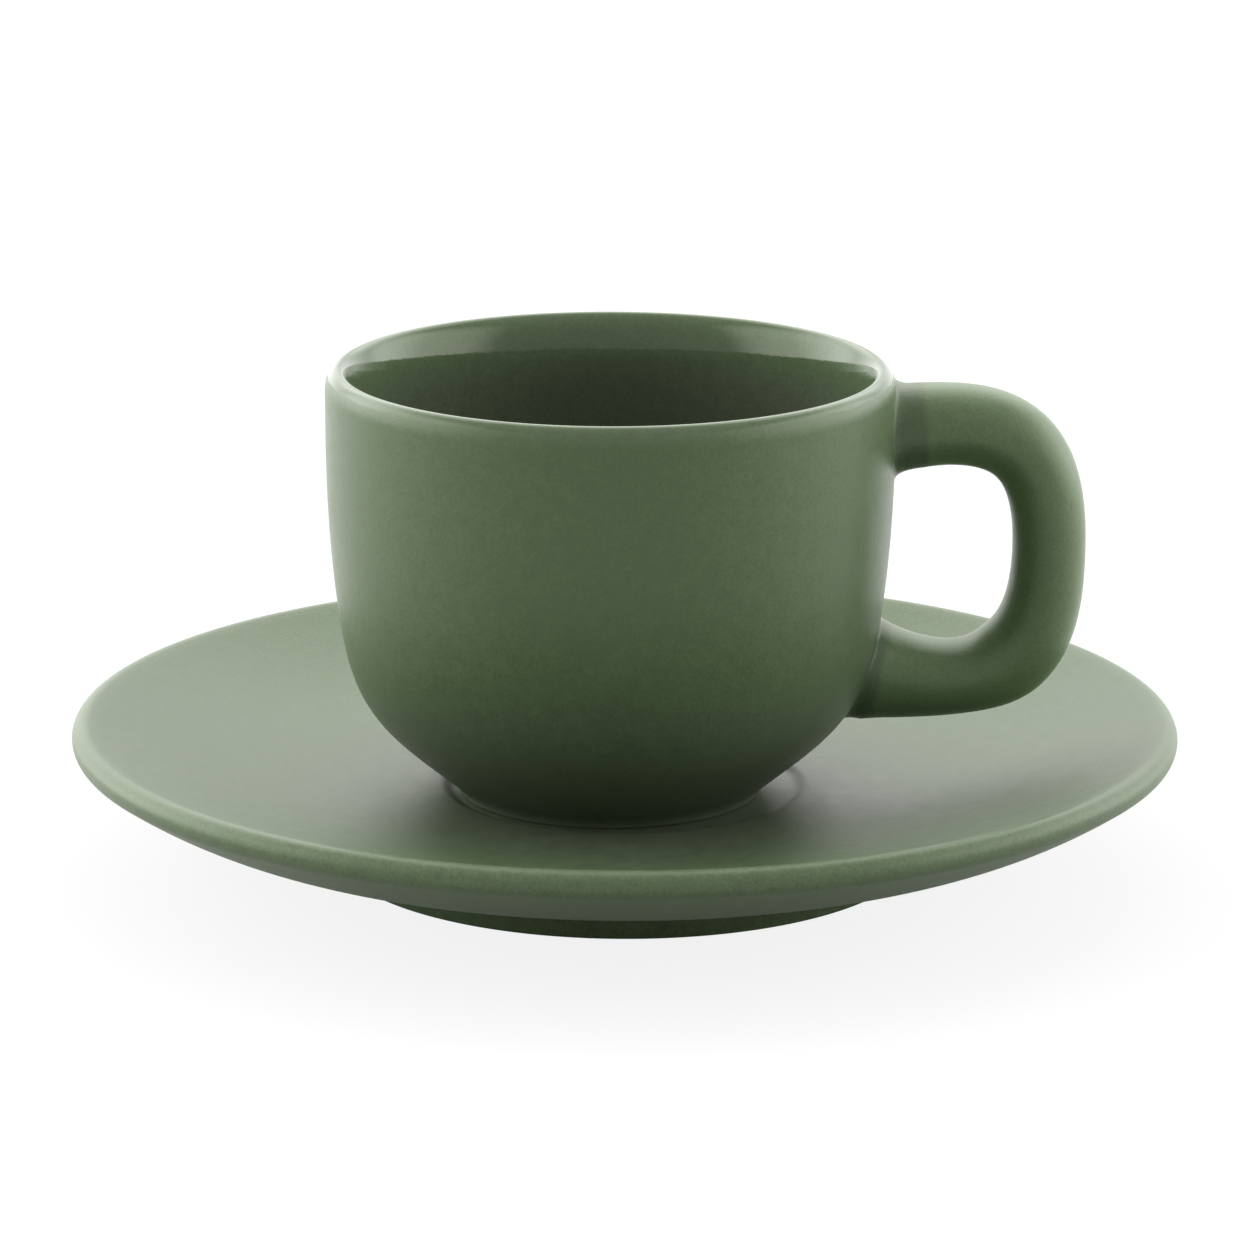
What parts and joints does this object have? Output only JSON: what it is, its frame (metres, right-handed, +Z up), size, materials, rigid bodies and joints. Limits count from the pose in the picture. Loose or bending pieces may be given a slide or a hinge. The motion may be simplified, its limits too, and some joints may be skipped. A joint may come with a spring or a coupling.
{
  "type": "espresso cup with saucer",
  "caption": "Small cup with a chunky loop handle and rounded lip, standing on its foot ring in the well of a round dished saucer.",
  "frame": {"origin": "centre of the saucer's foot ring, on the surface it stands on", "axes": "+Z up, +X towards the cup's handle"},
  "size_m": [0.12, 0.12, 0.0543],
  "materials": {
    "saucer_glaze": "matt sage green glaze",
    "cup_glaze": "matt sage green glaze outside, gloss glaze inside and over the lip",
    "handle_glaze": "matt sage green glaze"
  },
  "bodies": {
    "saucer": {"saucer": "saucer_glaze"},
    "cup": {"cup_body": "cup_glaze", "cup_handle": "handle_glaze"}
  },
  "joints": [
    {"name": "cup_lift", "type": "slide", "parent": "saucer", "child": "cup", "axis": [0, 0, 1], "range_m": [0, 0.08]}
  ]
}
